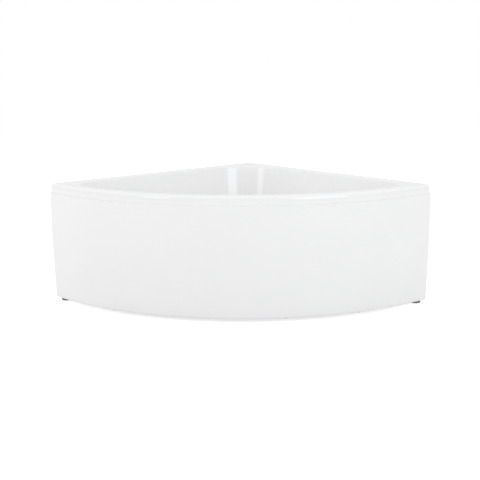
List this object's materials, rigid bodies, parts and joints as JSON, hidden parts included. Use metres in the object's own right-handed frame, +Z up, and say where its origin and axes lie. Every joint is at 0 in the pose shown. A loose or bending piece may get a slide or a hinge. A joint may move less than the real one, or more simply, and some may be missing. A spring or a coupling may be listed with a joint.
{
  "type": "corner bathtub",
  "caption": "Quadrant acrylic corner bathtub with a bowed front panel on a steel frame, with levelling feet, pop-up waste, overflow knob and trap.",
  "frame": {"origin": "bottom centre of the bounding box, on the floor", "axes": "+Z up; +X towards the right-hand room wall and +Y towards the left-hand room wall, so that the room's corner is at +X +Y and the bowed front faces -X -Y"},
  "size_m": [1, 1, 0.445],
  "materials": {
    "acrylic": "high gloss",
    "board": "pressed board, sealed with resin",
    "frame_steel": "grey powder coat",
    "zinc_steel": "zinc plated",
    "foot_plastic": "matt",
    "chrome": "polished",
    "seal_rubber": "matt",
    "hose_plastic": "satin, ribbed",
    "cable_sheath": "satin",
    "waste_plastic": "satin"
  },
  "bodies": {
    "tub": {"base_board": "board", "bowden_cable": "cable_sheath", "cross_beam_back": "frame_steel", "cross_beam_front": "frame_steel", "cross_beam_long": "frame_steel", "drain_body": "waste_plastic", "drain_flange": "chrome", "drain_lower_seal": "seal_rubber", "drain_upper_seal": "seal_rubber", "frame_screws": "zinc_steel", "front_panel": "acrylic", "front_rail": "frame_steel", "hose_nut_lower": "waste_plastic", "hose_nut_upper": "waste_plastic", "left_rail": "frame_steel", "lock_nuts": "zinc_steel", "outlet_nut": "waste_plastic", "outlet_pipe": "waste_plastic", "overflow_body": "waste_plastic", "overflow_hose": "hose_plastic", "overflow_rosette": "chrome", "overflow_screws": "chrome", "overflow_seal": "seal_rubber", "panel_bracket_1": "zinc_steel", "panel_bracket_2": "zinc_steel", "panel_bracket_3": "zinc_steel", "panel_clips": "zinc_steel", "panel_screws": "zinc_steel", "post_back": "frame_steel", "post_left": "frame_steel", "post_right": "frame_steel", "right_rail": "frame_steel", "rim_rail_left": "frame_steel", "rim_rail_right": "frame_steel", "trap_body": "waste_plastic", "trap_cap": "waste_plastic", "trap_nut": "waste_plastic", "tub_shell": "acrylic", "upper_front_rail": "frame_steel", "wall_bracket_1": "zinc_steel", "wall_bracket_2": "zinc_steel", "wall_bracket_3": "zinc_steel", "wall_bracket_4": "zinc_steel", "weld_nuts": "zinc_steel"},
    "foot_1": {"foot_stud_1": "zinc_steel", "foot_pad_1": "foot_plastic"},
    "foot_2": {"foot_stud_2": "zinc_steel", "foot_pad_2": "foot_plastic"},
    "foot_3": {"foot_stud_3": "zinc_steel", "foot_pad_3": "foot_plastic"},
    "foot_4": {"foot_stud_4": "zinc_steel", "foot_pad_4": "foot_plastic"},
    "foot_5": {"foot_stud_5": "zinc_steel", "foot_pad_5": "foot_plastic"},
    "plug": {"drain_plug": "chrome", "plug_seal": "seal_rubber"},
    "lever": {"lifter_lever": "zinc_steel"},
    "knob": {"overflow_knob": "chrome"}
  },
  "joints": [
    {"name": "foot_1_level", "type": "slide", "parent": "tub", "child": "foot_1", "axis": [0, 0, 1], "range_m": [-0.012, 0.012]},
    {"name": "foot_2_level", "type": "slide", "parent": "tub", "child": "foot_2", "axis": [0, 0, 1], "range_m": [-0.012, 0.012]},
    {"name": "foot_3_level", "type": "slide", "parent": "tub", "child": "foot_3", "axis": [0, 0, 1], "range_m": [-0.012, 0.012]},
    {"name": "foot_4_level", "type": "slide", "parent": "tub", "child": "foot_4", "axis": [0, 0, 1], "range_m": [-0.012, 0.012]},
    {"name": "foot_5_level", "type": "slide", "parent": "tub", "child": "foot_5", "axis": [0, 0, 1], "range_m": [-0.012, 0.012]},
    {"name": "knob_turn", "type": "hinge", "parent": "tub", "child": "knob", "pos_m": [-0.19074, -0.19074, 0.37287], "axis": [0.6984, 0.6984, 0.1564], "range_deg": [0, 90]},
    {"name": "plug_lift", "type": "slide", "parent": "tub", "child": "plug", "axis": [0, 0, 1], "range_m": [0, 0.008]},
    {"name": "lever_swing", "type": "hinge", "parent": "tub", "child": "lever", "pos_m": [-0.06245, -0.06245, 0.1195], "axis": [-0.7071, 0.7071, 0], "range_deg": [0, 26]}
  ],
  "couplings": [
    {"joint": "plug_lift", "follows": "knob_turn", "m_per_rad": 0.005093},
    {"joint": "lever_swing", "follows": "knob_turn", "ratio": 0.28889}
  ]
}
